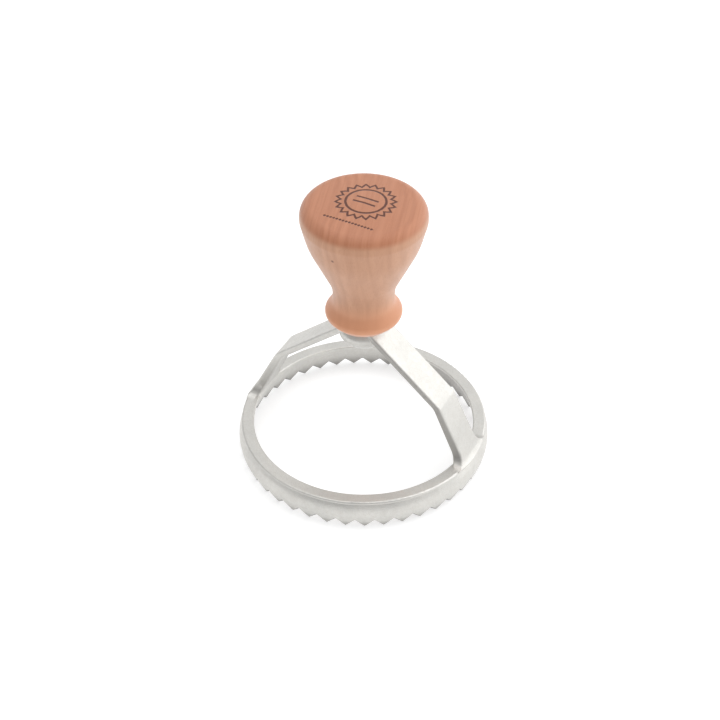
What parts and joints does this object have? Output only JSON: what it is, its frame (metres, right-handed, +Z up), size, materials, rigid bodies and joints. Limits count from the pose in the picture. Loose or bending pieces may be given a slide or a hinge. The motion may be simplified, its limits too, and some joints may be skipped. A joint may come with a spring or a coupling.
{
  "type": "pastry cutter stamp",
  "caption": "Push-down pastry stamp: a cast ring with a serrated lower edge, a bent strap bridge across it and a turned wooden palm knob on top.",
  "frame": {"origin": "centre of the ring, in the plane of the tooth tips that it stands on", "axes": "+Z up through the knob, +X along the bridge from one foot to the other, +Y across the bridge"},
  "size_m": [0.0796, 0.0796, 0.0929],
  "materials": {
    "cast_metal": "fine-grained satin casting",
    "beech": "turned, sanded and lightly oiled",
    "screw_steel": "zinc-plated, dull"
  },
  "bodies": {
    "root": {"cutter_frame": "cast_metal", "handle_knob": "beech", "handle_screw": "screw_steel"}
  },
  "joints": []
}
